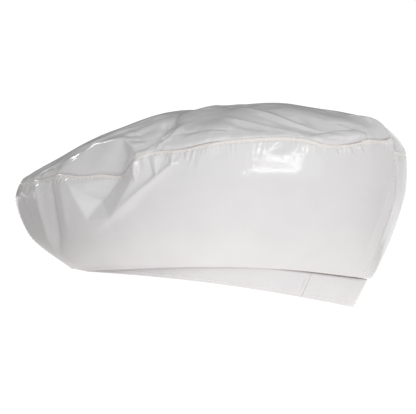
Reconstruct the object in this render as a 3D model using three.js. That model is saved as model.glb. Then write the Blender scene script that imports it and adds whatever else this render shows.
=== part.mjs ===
// A soft chef's cap of white coated cloth: a low, beret-shaped toque.
//
// Frame: millimetres, +Z up, -X towards the brow, +X towards the nape. The cap stands on its rim at
// Z = 0, and the origin is below the middle of its whole length and width.
//
// The cap is cut and sewn from flat cloth. A domed crown tip is sewn to a wall of three panels, the
// wall folds over a narrow headband, and the nape part of the headband is an elastic casing.
import * as THREE from "three";

// ---- driving dimensions, mm ----
const CAP_LENGTH = 285;
const CAP_WIDTH = 226;
const CAP_HEIGHT = 143;
const HEAD_LENGTH = 201; // outside of the band at the rim
const HEAD_WIDTH = 164;
const BROW_OVERHANG = 57.5; // how far the wall reaches past the band at the brow
const BAND_HEIGHT = 22;
const BAND_LEAN = { length: 8, width: 4 }; // how much wider the band is at its top edge
const NAPE_LEAN = 3.5; // how far the lean is shifted towards the nape, where elastic gathers the rim
const CLOTH = 1.0; // thickness of a wall or crown panel
const SEAM_GAP = 0.3; // clearance between sewn pieces
const WALL_CLEARANCE = 1.2; // from the band's top edge up to the middle of the wall's cloth above it

const FRONT = -CAP_LENGTH / 2;
const BACK = CAP_LENGTH / 2;
const BAND_CENTRE = FRONT + BROW_OVERHANG + HEAD_LENGTH / 2;
const ELASTIC_HALF_ANGLE = THREE.MathUtils.degToRad(48);
const NAPE_SEAM_LOW = THREE.MathUtils.degToRad(15); // where the two nape seams start at the band
const NAPE_SEAM_HIGH = THREE.MathUtils.degToRad(28); // and where they end at the crown

// ---- plan curves ----
// A plan curve is an oval about (centre, 0). Its square value is 2 for an ellipse, and more where the
// nape half is fuller than an ellipse.
const RIM = { centre: BAND_CENTRE, length: HEAD_LENGTH, width: HEAD_WIDTH, square: 2 };
const BAND_TOP = {
  centre: BAND_CENTRE + NAPE_LEAN,
  length: HEAD_LENGTH + BAND_LEAN.length,
  width: HEAD_WIDTH + BAND_LEAN.width,
  square: 2,
};
const FOLD = { centre: 17, length: 220, width: 180, square: 2.1 };
const WIDEST = { centre: 0, length: CAP_LENGTH - CLOTH, width: CAP_WIDTH - CLOTH, square: 2.6 };
const SEAM = { centre: -0.5, length: 279, width: 220, square: 2.6 };

function ovalRadius(oval, angle) {
  const c = Math.abs(Math.cos(angle));
  const s = Math.abs(Math.sin(angle));
  const n = Math.cos(angle) > 0 ? oval.square : 2;
  return ((2 * c / oval.length) ** n + (2 * s / oval.width) ** n) ** (-1 / n);
}

// The point of an oval at an angle, moved outwards by grow and lifted to z.
function onOval(oval, angle, z, grow = 0) {
  const r = ovalRadius(oval, angle) + grow;
  return new THREE.Vector3(oval.centre + r * Math.cos(angle), r * Math.sin(angle), z);
}

function mixOvals(a, b, share) {
  const mix = (key) => THREE.MathUtils.lerp(a[key], b[key], share);
  return { centre: mix("centre"), length: mix("length"), width: mix("width"), square: mix("square") };
}

// ---- heights along the cap ----
const rise = (x, from, to) => THREE.MathUtils.smoothstep(x, from, to);
const seamHeight = (x) => 60 + 57 * rise(x, FRONT, 63);
const widestHeight = (x) => 46 + 42 * rise(x, FRONT, 108);
const foldHeight = (x) => 1.1 + 22.2 * Math.sin((Math.PI / 2) * THREE.MathUtils.clamp((x + 86) / 182, 0, 1));

// The crown's ridge line, seen from the side: a long slope to the brow and a short one to the nape.
const PEAK_X = 66;
const SEAM_FRONT = SEAM.centre - SEAM.length / 2;
const SEAM_BACK = SEAM.centre + SEAM.length / 2;
const CROWN_TOP = CAP_HEIGHT - CLOTH / 2;
function ridgeHeight(x) {
  if (x < PEAK_X) {
    const low = seamHeight(SEAM_FRONT);
    return low + (CROWN_TOP - low) * (1 - ((PEAK_X - x) / (PEAK_X - SEAM_FRONT)) ** 2.25);
  }
  const low = seamHeight(SEAM_BACK);
  return low + (CROWN_TOP - low) * (1 - ((x - PEAK_X) / (SEAM_BACK - PEAK_X)) ** 3.4);
}

// ---- surfaces: functions of an angle round the cap and a share from 0 to 1 ----
// The band's outer face, from the rim up.
function bandFace(angle, share) {
  return onOval(mixOvals(RIM, BAND_TOP, share), angle, BAND_HEIGHT * share);
}

// The wall's middle surface: off the band's top edge, down into the fold that covers the band at the
// brow and leaves it bare at the nape, out to the widest line and up to the crown seam.
const WALL_ROWS = [0, 1, 1.5, 2, 2.5, 3, 3.5, 4, 4.5, 5, 5.5, 6, 6.5, 7, 7.5, 8].map((k) => k / 8);
function wallFace(angle, share) {
  const low = foldHeight(onOval(FOLD, angle, 0).x);
  const fold = onOval(FOLD, angle, low);
  const widest = onOval(WIDEST, angle, 0);
  widest.z = widestHeight(widest.x);
  const seam = onOval(SEAM, angle, 0);
  seam.z = seamHeight(seam.x) - SEAM_GAP;
  const outwards = 0.62 - 0.08 * Math.cos(angle);
  const belly = fold.clone().lerp(widest, outwards);
  belly.z = THREE.MathUtils.lerp(low, widest.z, 0.42);
  const shoulder = widest.clone().lerp(seam, 0.55);
  shoulder.add(onOval(SEAM, angle, 0).sub(new THREE.Vector3(SEAM.centre, 0, 0)).setLength(0.8));
  const sewn = BAND_HEIGHT + WALL_CLEARANCE;
  const line = new THREE.CatmullRomCurve3([
    onOval(BAND_TOP, angle, sewn, -0.8),
    onOval(BAND_TOP, angle, sewn, 1.5),
    onOval(FOLD, angle, THREE.MathUtils.lerp(sewn, low, 0.7), -2.6),
    onOval(FOLD, angle, low, -1.3),
    onOval(FOLD, angle, low + 2, 0),
    belly,
    widest,
    shoulder,
    seam,
  ]);
  return line.getPoint(share);
}

// The crown tip's middle surface, from its middle out to the crown seam.
const CROWN_ROWS = [0, 0.2, 0.4, 0.58, 0.72, 0.83, 0.91, 0.96, 0.99, 1];
function crownFace(angle, share) {
  const p = onOval(SEAM, angle, 0);
  p.x = SEAM.centre + (p.x - SEAM.centre) * share;
  p.y *= share;
  const along = Math.min(1, Math.abs(2 * (p.x - SEAM.centre) / SEAM.length));
  const n = p.x > SEAM.centre ? SEAM.square : 2;
  const halfWidth = (SEAM.width / 2) * (1 - along ** n) ** (1 / n);
  const across = halfWidth > 1e-6 ? Math.min(1, Math.abs(p.y) / halfWidth) : 0;
  const low = seamHeight(p.x);
  p.z = low + SEAM_GAP + Math.max(0, ridgeHeight(p.x) - low) * (1 - across ** 2.2) ** 0.62;
  return p;
}

// ---- solids ----
const NUDGE = 1e-3;

// The outward unit normal of a surface at an angle and a share.
function normalOf(face, angle, share) {
  const low = Math.max(0, share - NUDGE);
  const high = Math.min(1, share + NUDGE);
  const across = face(angle + NUDGE, share).sub(face(angle - NUDGE, share));
  const up = face(angle, high).sub(face(angle, low));
  return across.cross(up).normalize();
}

function meshFrom(points, faces) {
  const geometry = new THREE.BufferGeometry().setFromPoints(points);
  geometry.setIndex(faces.flat());
  return geometry;
}

// A closed sheet of cloth over a surface. Its faces lie outer and inner millimetres from the surface,
// and angleAt(share, k) gives the angle of column k. A full ring joins its last column to its first.
function sheet({ face, shares, columns, angleAt, outer, inner, ring = false }) {
  const points = [];
  const across = ring ? columns : columns + 1;
  for (const offset of [outer, inner])
    for (const share of shares)
      for (let k = 0; k < across; k += 1) {
        const angle = angleAt(share, k);
        points.push(face(angle, share).addScaledVector(normalOf(face, angle, share), offset));
      }
  const rows = shares.length;
  const at = (side, row, k) => (side * rows + row) * across + (k % across);
  const faces = [];
  const quad = (a, b, c, d) => faces.push([a, b, c], [a, c, d]);
  for (let k = 0; k < columns; k += 1) {
    for (let row = 0; row < rows - 1; row += 1) {
      quad(at(0, row, k), at(0, row, k + 1), at(0, row + 1, k + 1), at(0, row + 1, k));
      quad(at(1, row, k), at(1, row + 1, k), at(1, row + 1, k + 1), at(1, row, k + 1));
    }
    quad(at(0, 0, k), at(1, 0, k), at(1, 0, k + 1), at(0, 0, k + 1));
    quad(at(0, rows - 1, k), at(0, rows - 1, k + 1), at(1, rows - 1, k + 1), at(1, rows - 1, k));
  }
  if (!ring)
    for (let row = 0; row < rows - 1; row += 1) {
      quad(at(0, row, 0), at(0, row + 1, 0), at(1, row + 1, 0), at(1, row, 0));
      quad(at(0, row, columns), at(1, row, columns), at(1, row + 1, columns), at(0, row + 1, columns));
    }
  return meshFrom(points, faces);
}

// The crown tip: rings round a middle point, on both faces, joined at the edge.
function domedSheet(columns, thickness) {
  const points = [];
  const faces = [];
  const rings = CROWN_ROWS.slice(1);
  const size = 1 + rings.length * columns;
  const at = (side, ring, k) => side * size + 1 + ring * columns + (k % columns);
  for (const offset of [thickness / 2, -thickness / 2]) {
    const middle = crownFace(0, 0);
    middle.z += offset;
    points.push(middle);
    for (const share of rings)
      for (let k = 0; k < columns; k += 1) {
        const angle = (2 * Math.PI * k) / columns;
        const edge = share === 1;
        const outwards = edge
          ? new THREE.Vector3(Math.cos(angle), Math.sin(angle), 0)
          : normalOf(crownFace, angle, share).negate();
        points.push(crownFace(angle, share).addScaledVector(outwards, offset));
      }
  }
  for (let k = 0; k < columns; k += 1) {
    faces.push([0, at(0, 0, k), at(0, 0, k + 1)], [size, at(1, 0, k + 1), at(1, 0, k)]);
    for (let ring = 0; ring < rings.length - 1; ring += 1) {
      const [a, b] = [at(0, ring, k), at(0, ring, k + 1)];
      const [c, d] = [at(0, ring + 1, k + 1), at(0, ring + 1, k)];
      faces.push([a, d, c], [a, c, b]);
      const [e, f] = [at(1, ring, k), at(1, ring, k + 1)];
      const [g, h] = [at(1, ring + 1, k + 1), at(1, ring + 1, k)];
      faces.push([e, g, h], [e, f, g]);
    }
    const last = rings.length - 1;
    faces.push([at(0, last, k), at(1, last, k), at(1, last, k + 1)]);
    faces.push([at(0, last, k), at(1, last, k + 1), at(0, last, k + 1)]);
  }
  return meshFrom(points, faces);
}

// A thread laid along points: a closed loop, or a length with two ends.
const THREAD_RADIUS = 0.4;
const THREAD_SIDES = 5;
function threadLoop(points, steps) {
  const path = new THREE.CatmullRomCurve3(points, true);
  return new THREE.TubeGeometry(path, steps, THREAD_RADIUS, THREAD_SIDES, true);
}

function threadLength(points, steps) {
  const section = new THREE.Shape();
  for (let k = 0; k < THREAD_SIDES; k += 1) {
    const turn = (2 * Math.PI * k) / THREAD_SIDES;
    const [x, y] = [THREAD_RADIUS * Math.cos(turn), THREAD_RADIUS * Math.sin(turn)];
    if (k === 0) section.moveTo(x, y);
    else section.lineTo(x, y);
  }
  section.closePath();
  const extrudePath = new THREE.CatmullRomCurve3(points, false);
  return new THREE.ExtrudeGeometry(section, { steps, bevelEnabled: false, extrudePath });
}

// ---- materials ----
const finish = (name, color, roughness) =>
  new THREE.MeshStandardMaterial({ name, color, roughness, metalness: 0 });
const COATED = finish("coated_cloth", 0xe6e5e6, 0.25);
const COTTON = finish("sweatband_cotton", 0xe9e6e0, 0.9);
const TAPE = finish("binding_tape", 0xdedad3, 0.85);
const STIFFENER = finish("interlining", 0xf0eee8, 0.95);
const ELASTIC = finish("elastic", 0xf2f1ee, 0.8);
const THREAD = finish("thread", 0xefe6e0, 0.6);
const LABEL = finish("label", 0xf4f4f2, 0.7);

const cap = new THREE.Group();
const nape = new THREE.Group(); // the part of the headband that the elastic lets out
cap.add(nape);

function add(group, name, geometry, material) {
  const mesh = new THREE.Mesh(geometry, material);
  mesh.name = name;
  group.add(mesh);
  return mesh;
}

// ---- crown and wall ----
const CROWN_COLUMNS = 64;
add(cap, "crown_tip", domedSheet(CROWN_COLUMNS, CLOTH), COATED);

// Half of the seam gap, as an angle at about the wall's distance from the middle.
const HALF_GAP_ANGLE = (SEAM_GAP / 2 + 0.1) / 105;
const napeSeam = (share) => THREE.MathUtils.lerp(NAPE_SEAM_LOW, NAPE_SEAM_HIGH, share);

const SIDE_COLUMNS = 28;
const sideAngle = (side) => (share, k) => {
  const from = napeSeam(share) + HALF_GAP_ANGLE;
  const to = Math.PI - HALF_GAP_ANGLE;
  return side > 0
    ? THREE.MathUtils.lerp(from, to, k / SIDE_COLUMNS)
    : -THREE.MathUtils.lerp(to, from, k / SIDE_COLUMNS);
};
const wallSheet = (columns, angleAt) =>
  sheet({ face: wallFace, shares: WALL_ROWS, columns, angleAt, outer: CLOTH / 2, inner: -CLOTH / 2 });
add(cap, "wall_left", wallSheet(SIDE_COLUMNS, sideAngle(-1)), COATED);
add(cap, "wall_right", wallSheet(SIDE_COLUMNS, sideAngle(1)), COATED);

const NAPE_COLUMNS = 10;
const napeAngle = (share, k) =>
  (napeSeam(share) - HALF_GAP_ANGLE) * THREE.MathUtils.lerp(-1, 1, k / NAPE_COLUMNS);
add(cap, "wall_nape", wallSheet(NAPE_COLUMNS, napeAngle), COATED);

// ---- inside of the wall: binding tape over each sewn seam ----
const TAPE_GAP = 0.6; // more than a seam's, because the tape and the wall have different facets
const TAPE_DEPTH = { outer: -(CLOTH / 2 + TAPE_GAP), inner: -(CLOTH / 2 + TAPE_GAP + 0.6) };
const CROWN_TAPE_SHARES = [0.925, 0.9375, 0.985];
const UPRIGHT_TAPE_SHARES = WALL_ROWS.filter((share) => share > 0.55 && share < 0.88);
const TAPE_HALF_ANGLE = 6 / 125; // a tape 12 mm wide

add(
  cap,
  "crown_seam_binding",
  sheet({
    face: wallFace,
    shares: CROWN_TAPE_SHARES,
    columns: CROWN_COLUMNS,
    angleAt: (share, k) => (2 * Math.PI * k) / CROWN_COLUMNS,
    ...TAPE_DEPTH,
    ring: true,
  }),
  TAPE,
);

const UPRIGHT_SEAMS = {
  front_seam: () => Math.PI,
  nape_seam_left: (share) => -napeSeam(share),
  nape_seam_right: napeSeam,
};
const STITCH_STAND_OFF = CLOTH / 2 + SEAM_GAP + THREAD_RADIUS;
const STITCH_OFFSET_ANGLE = 2.5 / 125; // topstitching runs 2.5 mm beside its seam
const UPRIGHT_STITCH_SHARES = [0.52, 0.58, 0.64, 0.7, 0.76, 0.82, 0.88, 0.94];
for (const [name, seamAngle] of Object.entries(UPRIGHT_SEAMS)) {
  const tape = sheet({
    face: wallFace,
    shares: UPRIGHT_TAPE_SHARES,
    columns: 2,
    angleAt: (share, k) => seamAngle(share) + (k - 1) * TAPE_HALF_ANGLE,
    ...TAPE_DEPTH,
  });
  add(cap, `${name}_binding`, tape, TAPE);
  const side = name === "nape_seam_left" ? -1 : 1;
  const line = UPRIGHT_STITCH_SHARES.map((share) => {
    const angle = seamAngle(share) + side * STITCH_OFFSET_ANGLE;
    return wallFace(angle, share).addScaledVector(normalOf(wallFace, angle, share), STITCH_STAND_OFF);
  });
  add(cap, `${name}_stitching`, threadLength(line, 20), THREAD);
}

const CROWN_STITCH_SHARE = 0.975;
const CROWN_STITCH_POINTS = 72;
const crownStitching = Array.from({ length: CROWN_STITCH_POINTS }, (_, k) => {
  const angle = (2 * Math.PI * k) / CROWN_STITCH_POINTS;
  const outwards = normalOf(wallFace, angle, CROWN_STITCH_SHARE);
  return wallFace(angle, CROWN_STITCH_SHARE).addScaledVector(outwards, STITCH_STAND_OFF);
});
add(cap, "crown_seam_stitching", threadLoop(crownStitching, CROWN_STITCH_POINTS), THREAD);

// ---- headband: an outer strip, a stiffener or elastic in its middle, and a sweatband inside ----
// A length of the band between two angles, with a section of [depth inwards, height] corners that
// run anticlockwise as seen looking along the band with its outer face on the right.
function bandLength(from, to, columns, section) {
  const points = [];
  for (let k = 0; k <= columns; k += 1) {
    const angle = THREE.MathUtils.lerp(from, to, k / columns);
    for (const [depth, height] of section) {
      const share = height / BAND_HEIGHT;
      const outwards = normalOf(bandFace, angle, Math.min(share, 0.99)).setZ(0).normalize();
      points.push(bandFace(angle, share).addScaledVector(outwards, -depth));
    }
  }
  const corners = section.length;
  const faces = [];
  for (let k = 0; k < columns; k += 1)
    for (let i = 0; i < corners; i += 1) {
      const j = (i + 1) % corners;
      const [a, b] = [k * corners + i, k * corners + j];
      faces.push([a, a + corners, b + corners], [a, b + corners, b]);
    }
  const outline = section.map(([depth, height]) => new THREE.Vector2(-depth, height));
  const last = columns * corners;
  for (const [a, b, c] of THREE.ShapeUtils.triangulateShape(outline, [])) {
    faces.push([a, b, c], [last + c, last + b, last + a]);
  }
  return meshFrom(points, faces);
}

// A plain strip of the band between two depths and two heights.
const strip = (outer, inner, low, high) => [
  [outer, low],
  [outer, high],
  [inner, high],
  [inner, low],
];

const BAND_PLY = 0.8;
const BAND_DEPTH = 2.6; // outer strip, stiffener and sweatband together
const OUTER_STRIP = [
  [0, 0],
  [0, BAND_HEIGHT],
  [BAND_PLY, BAND_HEIGHT],
  [BAND_PLY, BAND_PLY],
  [BAND_DEPTH, BAND_PLY],
  [BAND_DEPTH, 0],
];
const MIDDLE_PLY = [1.1, 1.6];
const SWEATBAND_PLY = [1.9, BAND_DEPTH];
const INNER_LOW = BAND_PLY + SEAM_GAP;
const BAND_COLUMNS = 44;
const ELASTIC_COLUMNS = 16;
const BAND_GAP_ANGLE = SEAM_GAP / 85;
const FRONT_PART = [ELASTIC_HALF_ANGLE + BAND_GAP_ANGLE, 2 * Math.PI - ELASTIC_HALF_ANGLE - BAND_GAP_ANGLE];
const NAPE_PART = [-ELASTIC_HALF_ANGLE, ELASTIC_HALF_ANGLE];

const frontBand = (section) => bandLength(...FRONT_PART, BAND_COLUMNS, section);
add(cap, "headband", frontBand(OUTER_STRIP), COATED);
add(cap, "headband_interlining", frontBand(strip(...MIDDLE_PLY, INNER_LOW, BAND_HEIGHT - 1)), STIFFENER);
add(cap, "sweatband", frontBand(strip(...SWEATBAND_PLY, INNER_LOW, BAND_HEIGHT)), COTTON);

const napeBand = (section) => bandLength(...NAPE_PART, ELASTIC_COLUMNS, section);
const ELASTIC_WIDTH = 14;
const ELASTIC_LOW = (BAND_HEIGHT - ELASTIC_WIDTH) / 2;
add(nape, "nape_casing", napeBand(OUTER_STRIP), COATED);
add(nape, "nape_elastic", napeBand(strip(...MIDDLE_PLY, ELASTIC_LOW, ELASTIC_LOW + ELASTIC_WIDTH)), ELASTIC);
add(nape, "nape_sweatband", napeBand(strip(...SWEATBAND_PLY, INNER_LOW, BAND_HEIGHT)), COTTON);

// A blank woven tag hangs inside the nape.
const LABEL_HALF_ANGLE = 12 / 85;
const labelSection = strip(BAND_DEPTH + SEAM_GAP, BAND_DEPTH + SEAM_GAP + 0.5, 6, BAND_HEIGHT - 1);
add(nape, "size_label", bandLength(-LABEL_HALF_ANGLE, LABEL_HALF_ANGLE, 4, labelSection), LABEL);

// Topstitching holds the turned-in lower edge, and a bar of stitches tacks each end of the elastic.
const BAND_STITCH_HEIGHT = 3;
function bandStitching(from, to, points) {
  const share = BAND_STITCH_HEIGHT / BAND_HEIGHT;
  const line = Array.from({ length: points }, (_, k) => {
    const angle = THREE.MathUtils.lerp(from, to, k / (points - 1));
    const outwards = normalOf(bandFace, angle, share);
    return bandFace(angle, share).addScaledVector(outwards, SEAM_GAP + THREAD_RADIUS);
  });
  return threadLength(line, points - 1);
}
const TACK_ANGLE = 3 / 85; // between each end of the elastic and its tack
const STITCH_END = TACK_ANGLE + 3 / 85;
add(cap, "headband_stitching", bandStitching(FRONT_PART[0] + STITCH_END, FRONT_PART[1] - STITCH_END, 49), THREAD);
add(nape, "nape_stitching", bandStitching(NAPE_PART[0] + STITCH_END, NAPE_PART[1] - STITCH_END, 17), THREAD);

const TACK_HALF_WIDTH = 0.8 / 85;
const TACK_SHARES = [0.2, 0.5, 0.8];
for (const [name, side] of [
  ["elastic_tack_left", -1],
  ["elastic_tack_right", 1],
]) {
  const middle = side * (ELASTIC_HALF_ANGLE + TACK_ANGLE);
  const tack = sheet({
    face: bandFace,
    shares: TACK_SHARES,
    columns: 1,
    angleAt: (share, k) => middle + (2 * k - 1) * TACK_HALF_WIDTH,
    outer: SEAM_GAP + 0.8,
    inner: SEAM_GAP,
  });
  add(cap, name, tack, THREAD);
}

export default cap;
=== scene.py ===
"""A soft chef's cap of glossy white coated cloth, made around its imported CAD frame.

The cap is sewn from flat cloth: a crown tip, a wall of three panels that folds over a narrow
headband, and an elastic casing at the nape. Every panel, tape, strip and stitch is its own mesh.

Frame: +Z up, -X to the brow, +X to the nape, -Y to the wearer's left. Shapes are worked out in
millimetres, and become metres when their mesh is made.
"""

import math

import bpy
import numpy as np
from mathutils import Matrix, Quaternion, Vector


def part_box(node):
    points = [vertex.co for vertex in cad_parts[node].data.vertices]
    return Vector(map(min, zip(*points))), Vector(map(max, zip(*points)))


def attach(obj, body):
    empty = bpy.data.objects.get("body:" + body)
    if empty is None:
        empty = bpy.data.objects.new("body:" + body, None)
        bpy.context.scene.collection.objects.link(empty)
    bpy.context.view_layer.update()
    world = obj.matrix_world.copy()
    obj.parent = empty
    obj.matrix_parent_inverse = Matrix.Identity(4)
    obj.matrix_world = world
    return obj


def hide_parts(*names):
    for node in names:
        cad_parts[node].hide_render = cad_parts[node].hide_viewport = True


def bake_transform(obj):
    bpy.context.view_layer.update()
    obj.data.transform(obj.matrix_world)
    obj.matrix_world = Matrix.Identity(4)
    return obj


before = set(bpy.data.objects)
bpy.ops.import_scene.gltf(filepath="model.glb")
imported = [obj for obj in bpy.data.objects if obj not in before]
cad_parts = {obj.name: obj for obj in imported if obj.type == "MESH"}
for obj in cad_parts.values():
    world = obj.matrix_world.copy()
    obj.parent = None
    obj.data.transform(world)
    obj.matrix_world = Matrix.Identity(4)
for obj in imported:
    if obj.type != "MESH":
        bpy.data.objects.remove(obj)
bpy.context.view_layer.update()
MM = 0.001


def box_mm(*nodes):
    """The lowest and highest corner of several CAD nodes together, in millimetres."""
    corners = np.array([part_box(node) for node in nodes]) / MM
    return corners[:, 0].min(0), corners[:, 1].max(0)


# ---- driving dimensions, mm, from the frame ----
CAD_CLOTH = 1.0  # thickness of the CAD sheets, whose middle surfaces the cloth follows
CLOTH = 0.45  # thickness of the real coated cloth
WALL_LOW, WALL_HIGH = box_mm("wall_left", "wall_right", "wall_nape")
CROWN_LOW, CROWN_HIGH = box_mm("crown_tip")
BAND_LOW, BAND_HIGH = box_mm("headband", "nape_casing")
BAND_HEIGHT = BAND_HIGH[2]
FRONT, BACK = WALL_LOW[0], WALL_HIGH[0]
CROWN_TOP = CROWN_HIGH[2] - CAD_CLOTH / 2
BAND_LEAN = {"length": 8, "width": 4}  # how much wider the band is at its top edge
NAPE_LEAN = 3.5  # how far the band's middle leans to the nape on its way up
RIM_ARCH = 5.2  # how far the band's lower edge arches up halfway along its sides
BAND_RADIUS, WALL_RADIUS, NAPE_RADIUS = 85, 125, 135  # these turn millimetres round into angles
ELASTIC_HALF_ANGLE = math.radians(48)
# The nape seams' angle from the middle of the nape, where the wall meets the band and the crown.
NAPE_SEAM_LOW, NAPE_SEAM_HIGH = math.radians(15), math.radians(28)


def oval_of(low, high, trim, square):
    """The plan curve inside a box. Its nape half is a squarer oval than its brow half."""
    return {
        "centre": (low[0] + high[0]) / 2,
        "length": high[0] - low[0] - trim,
        "width": high[1] - low[1] - trim,
        "square": square,
    }


BAND_TOP = oval_of(BAND_LOW, BAND_HIGH, 0, 2)
RIM = {
    "centre": BAND_TOP["centre"] - NAPE_LEAN,
    "length": BAND_TOP["length"] - BAND_LEAN["length"],
    "width": BAND_TOP["width"] - BAND_LEAN["width"],
    "square": 2,
}
FOLD = {"centre": 17, "length": 220, "width": 180, "square": 2.1}  # where the wall turns in
WIDEST = oval_of(WALL_LOW, WALL_HIGH, CAD_CLOTH, 2.6)
SEAM = oval_of(CROWN_LOW, CROWN_HIGH, CAD_CLOTH, 2.6)


# ---- plan curves and heights ----
def smooth(x, low=0.0, high=1.0):
    """0 below low, 1 above high, and a smooth step between."""
    t = np.clip((np.asarray(x, float) - low) / (high - low), 0, 1)
    return t * t * (3 - 2 * t)


def mix(a, b, share):
    return a + (b - a) * share


def unit(vectors):
    return vectors / np.linalg.norm(vectors, axis=-1, keepdims=True)


def on_line(at, line, values):
    """Vectors at places on a line, between the given vectors at each of its points."""
    return np.stack([np.interp(at, line, values[:, a]) for a in range(3)], -1)


def oval_radius(oval, angle):
    c, s = np.abs(np.cos(angle)), np.abs(np.sin(angle))
    n = np.where(np.cos(angle) > 0, oval["square"], 2)
    return ((2 * c / oval["length"]) ** n + (2 * s / oval["width"]) ** n) ** (-1 / n)


def on_oval(oval, angle, z, grow=0.0):
    r = oval_radius(oval, angle) + grow
    return np.stack([oval["centre"] + r * np.cos(angle), r * np.sin(angle), z + 0 * r], -1)


def rim_arch(x):
    along = np.clip((x - RIM["centre"]) / RIM["length"] + 0.5, 0, 1)
    return RIM_ARCH * np.sin(math.pi * along) ** 0.8


def band_face(angle, share):
    """The band's outer face, from the rim up."""
    share = np.asarray(share, float)
    r = mix(oval_radius(RIM, angle), oval_radius(BAND_TOP, angle), share)
    centre = mix(RIM["centre"], BAND_TOP["centre"], share)
    x, y = centre + r * np.cos(angle), r * np.sin(angle)
    return np.stack([x, y, mix(rim_arch(x), BAND_HEIGHT, share)], -1)


# Each line's height at the brow, how far it climbs to the nape, and where its climb ends.
WIDEST_CLIMB, SEAM_CLIMB = (46, 42, 108), (60, 57, 63)
FOLD_LOW, FOLD_CLIMB, FOLD_START, FOLD_RUN = 1.1, 22.2, -86, 182


def climbing(x, low, climb, end):
    return low + climb * smooth(x, FRONT, end)


def fold_height(x):
    """The height of the wall's fold over the band, which is close to the floor at the brow."""
    along = np.clip((x - FOLD_START) / FOLD_RUN, 0, 1)
    return FOLD_LOW + FOLD_CLIMB * np.sin(math.pi / 2 * along)


def seam_base(x):
    """The crown seam's height along the cap, without its local rise and fall."""
    return climbing(x, *SEAM_CLIMB)


PEAK_X = 66  # where the crown is highest
BROW_SLOPE, NAPE_SLOPE = 2.25, 3.4  # powers of the crown's fall to the brow and to the nape
SEAM_FRONT = SEAM["centre"] - SEAM["length"] / 2
SEAM_BACK = SEAM["centre"] + SEAM["length"] / 2


def ridge_height(x):
    """The height of the crown's middle line, seen from the side."""
    low = np.where(x < PEAK_X, seam_base(SEAM_FRONT), seam_base(SEAM_BACK))
    reach = np.where(x < PEAK_X, PEAK_X - SEAM_FRONT, SEAM_BACK - PEAK_X)
    power = np.where(x < PEAK_X, BROW_SLOPE, NAPE_SLOPE)
    return low + (CROWN_TOP - low) * (1 - np.clip(np.abs(x - PEAK_X) / reach, 0, 1) ** power)


def bell(x, middle, width):
    return np.exp(-(((x - middle) / width) ** 2))


LEFT, RIGHT = -1, 1  # the sign of Y on each of the wearer's sides
# How far the crown seam rises or falls from its base height: (x, width, rise) bells on each side.
SEAM_RISES = {
    LEFT: [(-110, 15, 4.2), (-85, 10, 2.5), (-70, 8, -0.8), (-45, 17, 6), (-8, 25, 2.5)]
    + [(80, 12, -2.4), (108, 11, 3.7)],
    RIGHT: [(-92, 14, 3), (-55, 12, -4.5), (-28, 20, 4), (40, 18, 2)],
}
CORNER_RISE = 8.5  # the wall's upper corners stand up where the nape seams meet the crown
CORNER_RADIUS = 140


def seam_rise(x, y):
    """How far the seam at (x, y) is above its base height."""
    rise = sum(
        smooth(side * y, 8, 40) * sum(h * bell(x, at, width) for at, width, h in rises)
        for side, rises in SEAM_RISES.items()
    )
    angle = np.arctan2(np.abs(y), x - SEAM["centre"])
    beyond = (angle - NAPE_SEAM_HIGH) * CORNER_RADIUS  # positive on the side panel
    side_panel = np.where(beyond > 0, np.exp(-beyond / 15), 0)
    nape_panel = np.where(beyond <= 0, np.exp(beyond / 2.2), 0)
    return rise + CORNER_RISE * (side_panel + nape_panel)


# ---- surfaces ----
def through(keys, share):
    """Points at shares of smooth lines through key points, an array of points for each key."""
    last = len(keys) - 1
    ends = [2 * keys[0] - keys[1], *keys, 2 * keys[last] - keys[last - 1]]
    at = np.clip(share, 0, 1) * last
    out = np.zeros(keys[0].shape)
    for k in range(last):
        here = (at >= k) & ((at < k + 1) | (k == last - 1))
        if not here.any():
            continue
        p0, p1, p2, p3 = (np.broadcast_to(p, out.shape)[here] for p in ends[k : k + 4])
        gap = [
            np.maximum(np.linalg.norm(b - a, axis=-1, keepdims=True), 1e-6) ** 0.5
            for a, b in ((p0, p1), (p1, p2), (p2, p3))
        ]
        start = (p1 - p0) / gap[0] - (p2 - p0) / (gap[0] + gap[1]) + (p2 - p1) / gap[1]
        end = (p2 - p1) / gap[1] - (p3 - p1) / (gap[1] + gap[2]) + (p3 - p2) / gap[2]
        start, end = start * gap[1], end * gap[1]
        t = (np.broadcast_to(at, out.shape[:-1])[here] - k)[:, None]
        out[here] = (
            p1
            + start * t
            + (3 * (p2 - p1) - 2 * start - end) * t**2
            + (2 * (p1 - p2) + start + end) * t**3
        )
    return out


def wall_face(angle, share):
    """The wall's middle surface, from the band's top edge down to its fold and up to the seam."""
    angle, share = np.broadcast_arrays(np.asarray(angle, float), np.asarray(share, float))
    low = fold_height(on_oval(FOLD, angle, 0)[..., 0])
    fold = on_oval(FOLD, angle, low)
    widest = on_oval(WIDEST, angle, 0)
    widest[..., 2] = climbing(widest[..., 0], *WIDEST_CLIMB)
    seam = on_oval(SEAM, angle, 0)
    rise = seam_rise(seam[..., 0], seam[..., 1])
    seam[..., 2] = seam_base(seam[..., 0]) + rise
    widest[..., 2] += 0.35 * rise
    # The wall bellies out between its fold and its widest line, most at the brow.
    belly = mix(fold, widest, (0.62 - 0.08 * np.cos(angle))[..., None])
    belly[..., 2] = mix(low, widest[..., 2], 0.42)
    shoulder = mix(widest, seam, 0.55)
    out = on_oval(SEAM, angle, 0) - [SEAM["centre"], 0, 0]
    shoulder += 0.8 * unit(out)
    sewn = BAND_HEIGHT + 0.9  # the wall is sewn on just above the band's top edge
    keys = [
        on_oval(BAND_TOP, angle, sewn, -0.8),
        on_oval(BAND_TOP, angle, sewn, 1.5),
        on_oval(FOLD, angle, mix(sewn, low, 0.7), -2.6),
        on_oval(FOLD, angle, low, -1.3),
        on_oval(FOLD, angle, low + 2, 0),
        belly,
        widest,
        shoulder,
        seam,
    ]
    return through(keys, share)


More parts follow.
